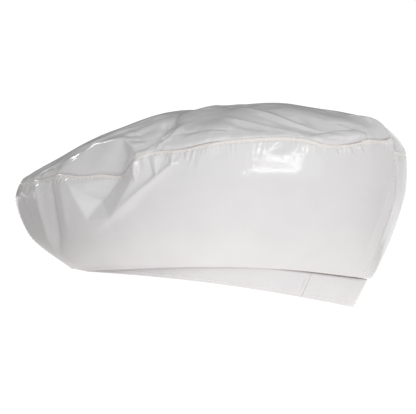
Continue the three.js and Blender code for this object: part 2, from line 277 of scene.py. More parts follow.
def crown_face(angle, share):
    """The crown tip's middle surface, from its middle out to the seam."""
    angle, share = np.broadcast_arrays(np.asarray(angle, float), np.asarray(share, float))
    rim = on_oval(SEAM, angle, 0)
    x = SEAM["centre"] + (rim[..., 0] - SEAM["centre"]) * share
    y = rim[..., 1] * share
    along = np.clip(np.abs(2 * (x - SEAM["centre"]) / SEAM["length"]), 0, 1)
    n = np.where(x > SEAM["centre"], SEAM["square"], 2)
    half_width = SEAM["width"] / 2 * np.clip(1 - along**n, 0, 1) ** (1 / n)
    across = np.clip(np.abs(y) / np.maximum(half_width, 1e-6), 0, 1)
    low = seam_base(x)
    dome = np.maximum(0, ridge_height(x) - low) * (1 - across**2.2) ** 0.62
    rise = seam_rise(rim[..., 0], rim[..., 1]) * smooth(share, 0.62, 1)
    return np.stack([x, y, low + dome + rise], -1)


# ---- cloth detail, as heights along the surface's outward normal ----
def along_line(points):
    """Millimetres along a line at each of its points."""
    return np.concatenate([[0], np.cumsum(np.linalg.norm(np.diff(points, axis=0), axis=1))])


SEAM_ANGLES = np.linspace(-math.pi, math.pi, 2881)
_seam_line = on_oval(SEAM, SEAM_ANGLES, 0)
_seam_line[:, 2] = seam_base(_seam_line[:, 0]) + seam_rise(_seam_line[:, 0], _seam_line[:, 1])
SEAM_ARC = along_line(_seam_line)


def seam_arc(angle):
    """Millimetres along the crown seam, from the brow round the wearer's left side."""
    turned = (np.asarray(angle) + math.pi) % (2 * math.pi) - math.pi
    return np.interp(turned, SEAM_ANGLES, SEAM_ARC)


def uneven(x, seed, wave):
    """Smooth unevenness between about -1 and 1 along a line, of about the given wavelength."""
    rng = np.random.default_rng(seed)
    waves = [(wave * rng.uniform(0.6, 1.8), rng.uniform(0, 2 * math.pi)) for _ in range(7)]
    return sum(np.sin(2 * math.pi * x / w + turn) for w, turn in waves) / 2.6


def scallops(arc, pitch):
    """Round ridges of height 1 with sharp valleys of -1 between them, one every pitch."""
    return 1 - 2 * np.abs(np.sin(math.pi * arc / pitch)) ** 0.8


def puckers(arc, off, seed, pitch, reach, height):
    """Short puckers that run off a seam, pulled in by each stitch, some longer than others."""
    place = arc + 0.9 * uneven(arc, seed, 11) + 0.25 * off * uneven(arc, seed + 1, 60)
    wave = scallops(place, pitch)
    strength = np.clip(0.6 + 0.4 * uneven(arc, seed + 2, 26), 0.25, 1.2)
    far = reach * (0.75 + 0.5 * np.clip(uneven(arc, seed + 3, 17), -0.8, 1))
    start = smooth(off, 0.6, 2.6)
    return height * strength * wave * start * np.exp(-((off / far) ** 2))


def beside_line(points, axes, start, end):
    """Where points are beside a line, seen along the axis that axes leaves out: their share
    along it, and how many millimetres they are off it."""
    a, b = np.asarray(start, float), np.asarray(end, float)
    p, d = points[..., axes] - a, b - a
    length = np.linalg.norm(d)
    return (p @ d) / length**2, p @ (np.array([-d[1], d[0]]) / length)


def puff(points, axes, base, tip, width, height):
    """A puff of cloth that hangs from a seam at its base, and narrows to its tip."""
    t, side = beside_line(points, axes, base, tip)
    half = width / 2 * np.clip(1.05 - t, 0.02, 1) ** 0.7
    round_top = np.clip(1 - (side / half) ** 2, 0, 1) ** 1.4
    return height * round_top * smooth(t, -0.3, 0.15) * smooth(t, 1.05, 0.55)


def ripple(points, seed, count, wave, height):
    """Smooth unevenness: a sum of waves of about the given length in random directions."""
    rng = np.random.default_rng(seed)
    total = np.zeros(points.shape[:-1])
    for _ in range(count):
        way = rng.normal(size=3)
        way /= np.linalg.norm(way)
        turn = 2 * math.pi / (wave * rng.uniform(0.7, 1.5))
        total += np.sin(points @ (way * turn) + rng.uniform(0, 2 * math.pi))
    return total * height / math.sqrt(count)


CREASE_TOP = 0.35  # how round a crease's top is, as a share of its width


def crease(points, axes, ends, width, height):
    """A crease along a straight line between two ends. It is highest in its middle, and dies
    away over its width on both sides and at its ends."""
    t, side = beside_line(points, axes, *ends)
    taper = smooth(t, -0.12, 0.25) * smooth(1 - t, -0.12, 0.25)
    rounded = np.sqrt((side / width) ** 2 + CREASE_TOP**2) - CREASE_TOP
    return height * taper * np.exp(-rounded * 1.5)


def pillow(points, axes, start, end, width, height):
    """A long rounded swelling from start to end."""
    t, side = beside_line(points, axes, start, end)
    return height * np.clip(1 - (2 * t - 1) ** 2 - (side / (width / 2)) ** 2, 0, 1) ** 0.62


def facets(points, axes, corners, triangles):
    """Heights of flat facets between corners of (two coordinates, height), and 0 outside them."""
    p = points[..., axes]
    total = np.zeros(p.shape[:-1])
    for names in triangles:
        a, b, c = (np.array(corners[name], float) for name in names)
        u, v = b[:2] - a[:2], c[:2] - a[:2]
        area = u[0] * v[1] - u[1] * v[0]
        q = p - a[:2]
        s = (q[..., 0] * v[1] - q[..., 1] * v[0]) / area
        t = (u[0] * q[..., 1] - u[1] * q[..., 0]) / area
        inside = (s >= 0) & (t >= 0) & (s + t <= 1)
        total = np.where(inside, a[2] + s * (b[2] - a[2]) + t * (c[2] - a[2]), total)
    return total


def rounded_facets(points, axes, corners, triangles, radius):
    """Facets with their creases rounded over the given radius, as a mean of eight shifted copies
    and of the facets themselves, which count twice."""
    total = facets(points, axes, corners, triangles) * 2
    for turn in np.arange(8) / 8 * 2 * math.pi:
        shift = np.zeros(3)
        shift[axes] = radius * math.cos(turn), radius * math.sin(turn)
        total = total + facets(points + shift, axes, corners, triangles)
    return total / 10


XZ, XY = [0, 2], [0, 1]
DENT_ROUNDING = 0.9

# ---- the cap's own folds ----
# On the wearer's left, in (X, Z): a dent across the seam near the brow. Its deepest line runs up
# from a sharp point low on the wall, over the seam, to the crown.
DENT = {
    "point": (-85, 39, 2.2),
    "low left": (-100, 60, 3.4),
    "brow": (-112, 69, 1.2),
    "crown left": (-100, 80, 2.2),
    "crown high": (-86, 91, 4.6),
    "crown top": (-67, 98, 5.2),
    "crown right": (-55, 90, 4.0),
    "seam right": (-56, 81, 2.6),
    "wall right": (-57, 69, 2.8),
    "low right": (-69, 43, 2.4),
    "deep low": (-80, 52, -8.0),
    "deep seam": (-70, 75, -9.5),
    "deep high": (-64, 90, -3.0),
    "rim left": (-119, 50, 0),
    "rim point": (-102, 24, 0),
    "rim low": (-80, 27, 0),
    "rim right": (-52, 52, 0),
    "rim seam": (-42, 80, 0),
    "rim high": (-46, 98, 0),
    "rim top": (-62, 108, 0),
    "rim crown": (-90, 98, 0),
    "rim brow": (-110, 82, 0),
}


def fan(centre, *ring):
    return [(a, b, centre) for a, b in zip(ring, ring[1:])]


def strip(*corners):
    return list(zip(corners, corners[1:], corners[2:]))


DENT_FACETS = [
    *fan("deep low", "low right", "point", "low left", "deep seam"),
    *fan("deep seam", "low left", "brow", "crown left", "crown high", "deep high"),
    *fan("deep high", "crown high", "crown top", "crown right", "seam right", "deep seam"),
    *fan("deep seam", "seam right", "wall right", "low right", "deep low"),
    *strip("brow", "rim left", "low left", "rim point", "point", "rim low", "low right"),
    *strip("rim low", "low right", "rim right", "wall right", "rim seam", "seam right"),
    *strip("rim seam", "seam right", "crown right"),
    *strip("rim seam", "crown right", "rim high", "crown top", "rim top", "crown high"),
    *strip("rim top", "crown high", "rim crown", "crown left", "rim brow", "brow"),
]
DENT_MIDDLE = (-79, 68)
DENT_REACH = 30

# Creases as (ends, width, height): ridges are positive and valleys negative.
LEFT_CREASES = [
    (((-67, 46), (-27, 89)), 2.8, 3.0),
    (((-58, 90), (-31, 125)), 2.4, -4.2),
    (((-45, 94), (-26, 118)), 2.6, 1.8),
    (((-128, 62), (-107, 12)), 3.0, 3.2),
    (((-116, 64), (-102, 10)), 2.4, -3.4),
    (((-139, 52), (-124, 22)), 2.6, -2.2),
    (((-108, 66), (-98, 30)), 4.0, 1.2),
    (((-118, 71), (-62, 110)), 1.3, 1.1),
    (((-122, 70), (-84, 98)), 1.2, -1.1),
    (((-108, 82), (-72, 106)), 1.2, -1.1),
    (((-106, 86), (-44, 118)), 1.3, 1.1),
    (((-98, 95), (-36, 123)), 1.2, -1.1),
    (((-88, 104), (-26, 129)), 1.3, 1.0),
    (((-76, 104), (-50, 118)), 1.2, -0.9),
    (((-52, 100), (-34, 116)), 1.2, 1.0),
    (((9, 136), (76, 126)), 1.2, 0.9),
    (((24, 131), (96, 122)), 1.8, -0.9),
    (((0, 128), (62, 120)), 1.4, 0.7),
    (((82, 133), (104, 126)), 1.3, 0.9),
    (((74, 118), (106, 121)), 1.4, -1.6),
]
# Puffs of cloth below the seam, in (X, Z), as (seam, tip, width, height).
LEFT_PUFFS = [
    ((-56, 85), (-54, 69), 8, 2.2),
    ((-43, 91), (-40, 75), 10, 2.4),
    ((-31.5, 96), (-30.5, 84), 8, 1.8),
    ((-20, 102), (-21, 90), 7, 1.2),
    ((76, 119), (88, 108), 5, 1.2),
    ((86, 120), (99, 109), 5, 1.4),
    ((96, 121), (106, 111), 5, 1.2),
]
# Pillows of crown cloth beside the seam, over the dent and near the nape.
LEFT_PILLOWS = [
    ((-44, 97), (8, 114), 15, 2.6),
    ((66, 118.5), (106, 125), 12, 5),
]
RIGHT_PUFFS = [
    ((-62, 82), (-60, 66), 9, 1.8),
    ((-48, 90), (-47, 76), 8, 1.4),
    ((-10, 106), (-12, 92), 9, 1.4),
    ((30, 116), (28, 104), 8, 1.0),
]
RIGHT_CREASES = [
    (((-90, 40), (-52, 74)), 4, 2.0),
    (((-84, 36), (-40, 70)), 4, -1.8),
    (((-75, 80), (-35, 118)), 4, -2.6),
    (((-121, 60), (-108, 20)), 3, -1.8),
    (((-20, 100), (45, 121)), 4, -1.2),
    (((0, 128), (80, 124)), 1.6, 0.6),
    (((60, 70), (104, 100)), 6, -1.2),
]
# Folds on top of the crown, in (X, Y).
TOP_CREASES = [
    (((-95, 22), (-10, 48)), 4, -0.6),
    (((-30, 12), (70, -34)), 4, -0.5),
]
NAPE_CORNER = 2.4  # how far the cloth stands out along the two nape seams


def on_side(points, side):
    """1 on one of the wearer's sides, and 0 on the other and along the middle."""
    return smooth(side * points[..., 1], 12, 34)


def fold_height_at(points):
    """The height of the dent and the creases at points of the wall or the crown."""
    left, right = on_side(points, LEFT), on_side(points, RIGHT)
    total = left * rounded_facets(points, XZ, DENT, DENT_FACETS, DENT_ROUNDING)
    total = total + left * sum(crease(points, XZ, *c) for c in LEFT_CREASES)
    return total + right * sum(crease(points, XZ, *c) for c in RIGHT_CREASES)


def puff_height_at(points):
    total = on_side(points, LEFT) * sum(puff(points, XZ, *c) for c in LEFT_PUFFS)
    return total + on_side(points, RIGHT) * sum(puff(points, XZ, *c) for c in RIGHT_PUFFS)


def near_dent(points):
    """1 in the dent, and 0 away from it."""
    far = np.linalg.norm(points[..., XZ] - DENT_MIDDLE, axis=-1)
    return smooth(far, DENT_REACH * 1.3, DENT_REACH * 0.9) * smooth(-points[..., 1], 0, 20)


STREAK_HEIGHT, STREAK_WAVE, STREAK_SEED = 0.45, 5.5, 71


def streaks(points):
    """Fine pulled lines that run back and up from the brow, over the left of the crown."""
    across = points[..., XZ] @ np.array([-0.53, 0.848])
    there = smooth(-points[..., 1], 5, 30) * bell(points[..., 0], -78, 36)
    lines = uneven(across, STREAK_SEED, STREAK_WAVE)
    return STREAK_HEIGHT * there * (1 - near_dent(points)) * lines


CROWN_SINK, WALL_SINK = 0.6, 0.2  # how far the sewn edges sink below the cloth beside them
CROWN_FLAT = (3.2, 14)  # how far the crown lies in beside its seam, and how far from the seam
NAPE_FULL = 1.4  # how far the crown stands out instead at the nape
STITCH_OFF = 2.4  # from the seam down to its line of stitches
STITCH_SINK = 0.4
BROW_PITCH, BROW_REACH, BROW_DEPTH = 4.0, 8, 0.85  # the even puckers under the seam at the brow
FOLD_BULGE = 3  # how far the fold bulges out over the floor at the brow
# Puckers at the seam, on the wall and on the crown, as (seed, pitch, reach, height).
STITCH_PUCKERS, LONG_PUCKERS = (21, 4.0, 7.5, 0.42), (31, 9.5, 13, 0.5)
CROWN_PUCKERS, BROAD_PUCKERS = (41, 4.6, 6, 0.16), (51, 14, 16, 0.5)
# Unevenness, as (seed, count of waves, length, height).
WALL_RIPPLE, FINE_RIPPLE, CROWN_RIPPLE = (3, 14, 60, 0.25), (4, 14, 24, 0.06), (5, 16, 50, 0.5)


def seam_groove(off, sink, roll):
    """The sewn edge sinks in, and the cloth rolls up beside it."""
    return -sink * np.exp(-((off / 0.8) ** 2)) + roll * bell(off, 3.5, 2.6)


def beside_nape_seam(angle, share):
    """Millimetres from the nearest nape seam, along the wall."""
    turned = np.abs(np.arctan2(np.sin(angle), np.cos(angle)))
    return np.abs(turned - nape_seam(share)) * NAPE_RADIUS


def nape_seam(share):
    return mix(NAPE_SEAM_LOW, NAPE_SEAM_HIGH, share)


def wall_height(points, angle, share, off):
    """How far the wall's cloth stands off its middle surface."""
    body = smooth(share, 0.45, 0.6)
    calm = 1 - 0.7 * near_dent(points)
    gather = puckers(seam_arc(angle), off, *STITCH_PUCKERS) * calm
    brow = smooth(-points[..., 1], 0, 30) * bell(points[..., 0], -111, 9)
    even = BROW_DEPTH * brow * scallops(seam_arc(angle), BROW_PITCH)
    gather = gather + even * smooth(off, 0.6, 2.6) * np.exp(-((off / BROW_REACH) ** 2))
    loose = smooth(points[..., 0], 0, -30) * 0.7 + 0.25
    gather = gather + loose * puckers(seam_arc(angle), off, *LONG_PUCKERS) * calm
    folds = fold_height_at(points) + puff_height_at(points) * smooth(off, 0.8, 4)
    folds = folds + ripple(points, *WALL_RIPPLE)
    folds = folds + ripple(points, *FINE_RIPPLE)
    beside = beside_nape_seam(angle, share)
    folds = folds + NAPE_CORNER * np.exp(-beside / 8) - 0.7 * np.exp(-((beside / 1.0) ** 2))
    bulge = FOLD_BULGE * smooth(-points[..., 0], 80, 95) * bell(points[..., 2], 2, 9)
    bulge = bulge * smooth(share, 0.4, 0.5)
    sewn = bulge - STITCH_SINK * bell(off, STITCH_OFF, 0.6)
    return seam_groove(off, WALL_SINK, 0) + sewn + gather + body * folds


def crown_height(points, angle, share, off):
    """How far the crown tip's cloth stands off its middle surface."""
    gather = puckers(seam_arc(angle), off, *CROWN_PUCKERS)
    broad = puckers(seam_arc(angle), off, *BROAD_PUCKERS)
    gather = gather + broad * (1 - near_dent(points))
    top = smooth(off, 8, 30)
    folds = fold_height_at(points) + top * sum(crease(points, XY, *c) for c in TOP_CREASES)
    folds = folds + on_side(points, LEFT) * sum(pillow(points, XZ, *c) for c in LEFT_PILLOWS)
    folds = folds + ripple(points, *CROWN_RIPPLE)
    folds = folds + streaks(points) - 2.6 * bell(points[..., 0], -8, 24) * smooth(off, 15, 50)
    depth, reach = CROWN_FLAT
    flat = -depth * off / reach * np.exp(1 - off / reach)
    flat = flat * smooth(points[..., 0], -132, -95) * (1 - 0.7 * near_dent(points))
    nape = smooth(points[..., 0], 90, 116)
    flat = mix(flat, NAPE_FULL * smooth(off, 1.5, 12), nape)
    return seam_groove(off, CROWN_SINK, 0.2) + flat + gather + folds


# ---- places on the cloth ----
def spaced(*runs):
    """Runs of (start, end, count) shares, each without its end."""
    return [np.linspace(a, b, count, endpoint=False) for a, b, count in runs]


# The rows lie closer together towards the crown seam, where the puckers are.
WALL_RUNS = [(k / 8, (k + 1) / 8, count) for k, count in enumerate((2, 6, 5, 4, 15, 20, 18))]
WALL_RUNS += [(0.875, 0.955, 11)]
WALL_ROWS = np.concatenate(spaced(*WALL_RUNS) + [np.linspace(0.955, 1, 22)])
CROWN_ROWS = 1 - np.concatenate(
    spaced((0, 0.1, 20), (0.1, 0.6, 62)) + [np.linspace(0.6, 0.985, 30)]
)
NUDGE = 1e-3
WALL_TAUT = 0.75  # how much less the wall crumples away from its seam


class Cloth:
    """A panel's surface, with the height of its detail and how far each place is from the seam."""

    def __init__(self, face, height, rows, from_seam):
        self.face, self.height, self.rows = face, height, rows
        self.taut = 0 if from_seam else WALL_TAUT
        self.angles = np.linspace(-math.pi, math.pi, 361)
        base = face(self.angles[None, :], rows[:, None])
        steps = np.linalg.norm(np.diff(base, axis=0), axis=-1)
        lengths = np.concatenate([np.zeros((1, len(self.angles))), np.cumsum(steps, 0)])
        self.off_table = lengths if from_seam else lengths[-1] - lengths
        self.up = 1 if rows[-1] > rows[0] else -1
        self.drape = None

    def off(self, angle, share):
        """Millimetres from the crown seam, down the wall or in over the crown."""
        turned = (angle + math.pi) % (2 * math.pi)
        c = turned / (2 * math.pi) * (len(self.angles) - 1)
        index = np.arange(len(self.rows))
        r = np.interp(share * self.up, self.rows * self.up, index)
        c0 = np.minimum(c.astype(int), len(self.angles) - 2)
        r0 = np.minimum(r.astype(int), len(self.rows) - 2)
        ct, rt, table = c - c0, r - r0, self.off_table
        low = mix(table[r0, c0], table[r0, c0 + 1], ct)
        return mix(low, mix(table[r0 + 1, c0], table[r0 + 1, c0 + 1], ct), rt)

    def normal(self, angle, share):
        across = self.face(angle + NUDGE, share) - self.face(angle - NUDGE, share)
        low, high = np.clip(share - NUDGE, 0, 1), np.clip(share + NUDGE, 0, 1)
        up = (self.face(angle, high) - self.face(angle, low)) * self.up
        n = np.cross(across, up)
        return n / np.maximum(np.linalg.norm(n, axis=-1, keepdims=True), 1e-9)

    def way(self, angle, share, off):
        """The way in which the cloth's detail stands, the same for both panels at the seam."""
        turned = (angle + math.pi) % (2 * math.pi) - math.pi
        at_seam = on_line(turned, SEAM_ANGLES, SEAM_WAY)
        away = smooth(off, 0, SEAM_BLEND)[..., None]
        return unit(mix(at_seam, self.normal(angle, share), away))

    def at(self, angle, share, lift=0.0):
        """Points of the cloth's middle, moved lift millimetres outwards."""
        angle, share = np.broadcast_arrays(np.asarray(angle, float), np.asarray(share, float))
        base, off = self.face(angle, share), self.off(angle, share)
        height = self.height(base, angle, share, off)
        slack = SETTLED_SHARE * (1 - near_dent(base)) * (1 - self.taut * smooth(off, 3, 25))
        settled = slack[..., None] * self.settled(angle, share)
        out = self.normal(angle, share) * lift
        return base + self.way(angle, share, off) * height[..., None] + out + settled

    def settled(self, angle, share):
        """How far the simulation moved the cloth there."""
        if self.drape is None:
            return np.zeros((*angle.shape, 3))
        column = (angle + math.pi) / (2 * math.pi) % 1 * self.drape.shape[1]
        index = np.arange(len(self.drape_rows))
        row = np.interp(share * self.up, self.drape_rows * self.up, index)
        return looked_up(self.drape, row, column)

    def share_at(self, angle, off):
        """The share of the surface that is off millimetres from the seam."""
        angle = np.asarray(angle, float)
        ends = np.zeros(angle.shape), np.ones(angle.shape)
        for _ in range(30):
            middle = (ends[0] + ends[1]) / 2
            far = self.off(angle, middle) > off
            ends = np.where(far, middle, ends[0]), np.where(far, ends[1], middle)
        return middle


WALL = Cloth(wall_face, wall_height, WALL_ROWS, from_seam=False)
CROWN = Cloth(crown_face, crown_height, CROWN_ROWS, from_seam=True)
SEAM_BLEND = 24  # over how many millimetres from the seam the two panels' directions part
SEAM_WAY = WALL.normal(SEAM_ANGLES, np.ones(SEAM_ANGLES.shape) - 0.002)
SEAM_WAY = unit(SEAM_WAY + CROWN.normal(SEAM_ANGLES, np.ones(SEAM_ANGLES.shape) - 0.01))


# ---- how the cloth settles: one simulation of the wall and the crown together ----
SIM_COLUMNS = 240
SIM_WALL = np.linspace(0.5, 1, 27)
SIM_RINGS = [(share, 240) for share in np.linspace(0.975, 0.62, 13)]
SIM_RINGS += [(share, 120) for share in np.linspace(0.585, 0.33, 8)]
SIM_RINGS += [(share, 60) for share in np.linspace(0.29, 0.12, 5)]
SIM_RINGS += [(0.07, 30)]
CLOTH_GROWTH = 0.03  # how much more cloth there is than the crown needs, which makes it crumple
LONGEST_WRINKLE = 60  # longer waves are left out, which keeps the cap's outline
SETTLED_SHARE = 0.45  # how much of the settled crumple shows, as the real cloth is stiffer
SIM_FRAMES = 26


def sim_rows():
    """Rows of resting points from the wall's fold up to the crown's middle, in millimetres."""
    whole = np.arange(SIM_COLUMNS) / SIM_COLUMNS * 2 * math.pi - math.pi
    rows = []
    for share in SIM_WALL:
        angle, level = whole, np.full(SIM_COLUMNS, share)
        base = wall_face(angle, level)
        body = smooth(level, 0.5, 0.6)
        way = WALL.way(angle, level, WALL.off(angle, level))
        rows.append(base + way * (body * fold_height_at(base))[:, None])
    for share, count in SIM_RINGS:
        angle, level = whole[:: SIM_COLUMNS // count], np.full(count, share)
        base = crown_face(angle, level)
        way = CROWN.way(angle, level, CROWN.off(angle, level))
        rows.append(base + way * fold_height_at(base)[:, None])
    return rows


def sim_faces(rows):
    """Triangles and quads between rows, some of which have half as many points as the row below."""
    faces, start = [], 0
    for low, high in zip(rows, rows[1:]):
        n, m, above = len(low), len(high), start + len(low)
        for k in range(m):
            if n == m:
                faces.append([start + k, start + (k + 1) % n, above + (k + 1) % m, above + k])
            else:
                a, b, c = (start + (2 * k + step) % n for step in range(3))
                d, e = above + k, above + (k + 1) % m
                faces += [[a, b, d], [b, e, d], [b, c, e]]
        start = above
    n = len(rows[-1])
    return faces + [[start + k, start + (k + 1) % n, start + n] for k in range(n)]


FOLD_HOLD = (1.0, 0.6, 0.2)  # how firmly the rows above the fold are held, from the lowest
SEAM_HOLD, CLOTH_HOLD = 0.16, 0.045  # and the row at the seam, and all others
CLOTH_SETTINGS = {
    "quality": 7,
    "mass": 0.15,
    "tension_stiffness": 25,
    "compression_stiffness": 25,
    "shear_stiffness": 12,
    "bending_stiffness": 1.2,
    "air_damping": 3,
    "vertex_group_mass": "hold",
    "pin_stiffness": 1.0,
    "shrink_min": -CLOTH_GROWTH,
    "shrink_max": 0.0,
    "vertex_group_shrink": "still",
}


def run_cloth(rows):
    """How far the simulation moves each point of the rows, in millimetres."""
    rest = np.concatenate([*rows, rows[-1].mean(0, keepdims=True)])
    piece = mesh_object("settling", rest, sim_faces(rows), [])
    hold, still = (piece.vertex_groups.new(name=name) for name in ("hold", "still"))
    start = 0
    for level, row in enumerate(rows):
        weight = SEAM_HOLD if level == len(SIM_WALL) - 1 else CLOTH_HOLD
        if level < len(FOLD_HOLD):
            weight = FOLD_HOLD[level]
        share = SIM_WALL[min(level, len(SIM_WALL) - 1)]
        places = list(range(start, start + len(row)))
        hold.add(places, weight, "REPLACE")
        still.add(places, float(1 - smooth(share, 0.8, 1)), "REPLACE")
        start += len(row)
    hold.add([start], CLOTH_HOLD, "REPLACE")
    still.add([start], 0.0, "REPLACE")
    cloth = piece.modifiers.new("cloth", "CLOTH")
    for key, value in CLOTH_SETTINGS.items():
        setattr(cloth.settings, key, value)
    cloth.settings.effector_weights.gravity = 0.0
    cloth.collision_settings.use_collision = False
    cloth.point_cache.frame_start, cloth.point_cache.frame_end = 1, SIM_FRAMES
    scene = bpy.context.scene
    for number in range(1, SIM_FRAMES + 1):
        scene.frame_set(number)
    shown = piece.evaluated_get(bpy.context.evaluated_depsgraph_get()).to_mesh()
    moved = np.zeros(len(shown.vertices) * 3)
    shown.vertices.foreach_get("co", moved)
    bpy.data.objects.remove(piece)
    scene.frame_set(1)
    return moved.reshape(-1, 3) / MM - rest


def settle():
    """How far each row's points settle, as grids of SIM_COLUMNS columns, without long waves."""
    rows = sim_rows()
    moved = run_cloth(rows)
    grid, start = [], 0
    columns = np.arange(SIM_COLUMNS + 1)
    for row in rows:
        part = moved[start : start + len(row)]
        part = np.concatenate([part, part[:1]])
        at = np.linspace(0, SIM_COLUMNS, len(row) + 1)
        even = on_line(columns, at, part)[:-1]
        length = np.linalg.norm(np.diff(row, axis=0, append=row[:1]), axis=1).sum()
        waves = np.fft.rfft(even, axis=0)
        kept = smooth(np.arange(len(waves)) * LONGEST_WRINKLE / length, 0.5, 1.2)
        grid.append(np.fft.irfft(waves * kept[:, None], SIM_COLUMNS, axis=0))
        start += len(row)
    grid.append(np.zeros((SIM_COLUMNS, 3)))
    return np.stack(grid)


def cubic_weights(t):
    """The shares of four neighbours at a place t between the middle two."""
    t = np.asarray(t)[..., None]
    weights = -t + 2 * t**2 - t**3, 2 - 5 * t**2 + 3 * t**3, t + 4 * t**2 - 3 * t**3, t**3 - t**2
    return np.concatenate(weights, -1) / 2


def looked_up(grid, row, column):
    """A grid's value at fractional rows and columns, smoothly, and all the way round."""
    r0, c0 = np.floor(row).astype(int), np.floor(column).astype(int)
    wr, wc = cubic_weights(row - r0), cubic_weights(column - c0)
    total = 0
    for i in range(4):
        r = np.clip(r0 + i - 1, 0, len(grid) - 1)
        for j in range(4):
            c = (c0 + j - 1) % grid.shape[1]
            total = total + grid[r, c] * (wr[..., i] * wc[..., j])[..., None]
    return total


# ---- meshes ----
def mesh_object(name, points, faces, materials):
    """An object of a mesh given in millimetres."""
    mesh = bpy.data.meshes.new(name)
    mesh.from_pydata((np.asarray(points).reshape(-1, 3) * MM).tolist(), [], faces)
    for material in materials:
        mesh.materials.append(material)
    mesh.polygons.foreach_set("use_smooth", [True] * len(mesh.polygons))
    mesh.update()
    piece = bpy.data.objects.new(name, mesh)
    bpy.context.scene.collection.objects.link(piece)
    return piece


def grid_faces(rows, columns, ring=False, start=0):
    """Quads over a grid of points, whose outside is to the left of a row that runs on upwards."""
    across = columns if ring else columns - 1
    r, c = np.meshgrid(np.arange(rows - 1), np.arange(across), indexing="ij")
    d = (c + 1) % columns
    low, high = r * columns, (r + 1) * columns
    quads = np.stack([low + c, low + d, high + d, high + c], -1)
    return (quads.reshape(-1, 4) + start).tolist()


def thicken(piece, thickness, backed=True):
    """Gives a sheet its thickness. If it is backed, its back and rim take the second material."""
    modifier = piece.modifiers.new("thickness", "SOLIDIFY")
    modifier.thickness = thickness * MM
    modifier.offset = 0
    modifier.material_offset = int(backed)
    modifier.material_offset_rim = int(backed)
    with bpy.context.temp_override(object=piece, active_object=piece):
        bpy.ops.object.modifier_apply(modifier=modifier.name)
    return piece


DRAPE = settle()
WALL.drape, WALL.drape_rows = DRAPE[: len(SIM_WALL)], SIM_WALL
CROWN.drape = DRAPE[len(SIM_WALL) - 1 :]
CROWN.drape_rows = np.array([1.0, *(share for share, _ in SIM_RINGS), 0.0])

TURN_IN = (0.6, 1.8, 3.4)  # how far in the last rows of a sewn edge turn
TURN_BACK = 0.3  # and how far back, as a share of that


def towards(start, end):
    """The direction from start to end."""
    way = end - start
    return way / np.maximum(np.linalg.norm(way, axis=-1, keepdims=True), 1e-9)


def turned_in(points, normals, edge, inner):
    """Rows that turn a sewn edge in, from the row at edge back towards the row at inner."""
    back = towards(points[edge], points[inner])
    return [points[edge] - normals[edge] * step + back * TURN_BACK * step for step in TURN_IN]


def side_turned_in(points, normal, edge, inner):
    """Columns that turn a wall panel's side in, and hardly do so where the wall is folded."""
    rows = len(WALL_ROWS)
    side, over_top = points[:rows, edge], points[rows:, edge] - points[rows - 1 : rows, edge]
    way = towards(side, points[:rows, inner]) * TURN_BACK - normal
    free = mix(0.15, 1, smooth(WALL_ROWS, 0.5, 0.62))[:, None]
    columns = [side + free * step * way for step in TURN_IN]
    return np.stack([np.concatenate([c, c[-1:] + over_top]) for c in columns], 1)


EDGE = 0.15 / 110  # half of the gap between two sewn panels, as an angle
SIDE_COLUMNS = 640
NAPE_COLUMNS = 120
CROWN_COLUMNS = 760


def wall_panel(name, columns, angle_at, materials):
    """A wall panel: angle_at gives the angle at a share up the wall and a share k across it.
    Its seam edge, down to just below the stitches, has the third material."""
    share = np.broadcast_to(WALL_ROWS[:, None], (len(WALL_ROWS), columns))
    angle = angle_at(share, np.linspace(0, 1, columns)[None, :])
    points = WALL.at(angle, share)
    normal = WALL.normal(angle, share)
    points = np.concatenate([points, np.stack(turned_in(points, normal, -1, -4))])
    first = side_turned_in(points, normal[:, 0], 0, 3)[:, ::-1]
    last = side_turned_in(points, normal[:, -1], -1, -4)
    points = np.concatenate([first, points, last], 1)
    faces = grid_faces(*points.shape[:2])
    row = np.arange(len(faces)) // (points.shape[1] - 1)
    height = -WALL.off(angle[:, columns // 2], WALL_ROWS)
    edge_row = np.searchsorted(height, -STITCH_OFF - 0.5)
    piece = thicken(mesh_object(name, points, faces, materials), CLOTH)
    indices = np.zeros(len(piece.data.polygons), int)
    piece.data.polygons.foreach_get("material_index", indices)
    indices[: len(faces)] = np.where(row >= edge_row, 2, indices[: len(faces)])
    piece.data.polygons.foreach_set("material_index", indices)
    return piece


def crown_panel(name, materials):
    angle = np.linspace(0, 2 * math.pi, CROWN_COLUMNS, endpoint=False)[None, :]
    angle, share = np.broadcast_arrays(angle, CROWN_ROWS[:, None])
    points = CROWN.at(angle, share)
    edge = turned_in(points, CROWN.normal(angle, share), 0, 3)
    points = np.concatenate([np.stack(edge[::-1]), points])
    rows = len(points)
    faces = grid_faces(rows, CROWN_COLUMNS, ring=True)
    last = (rows - 1) * CROWN_COLUMNS
    middle = rows * CROWN_COLUMNS
    faces += [[last + k, last + (k + 1) % CROWN_COLUMNS, middle] for k in range(CROWN_COLUMNS)]
    points = np.concatenate([points.reshape(-1, 3), points[-1].mean(0, keepdims=True)])
    return thicken(mesh_object(name, points, faces, materials), CLOTH)


def left_angle(share, k):
    return -mix(math.pi - EDGE, nape_seam(share) + EDGE, k)


def right_angle(share, k):
    return mix(nape_seam(share) + EDGE, math.pi - EDGE, k)


def nape_angle(share, k):
    return (nape_seam(share) - EDGE) * mix(-1, 1, k)


# ---- stitches ----
THREAD = 0.33  # radius of the sewing thread
STITCH = 2.3  # length of one stitch
PITCH = 3.1  # from one stitch to the next


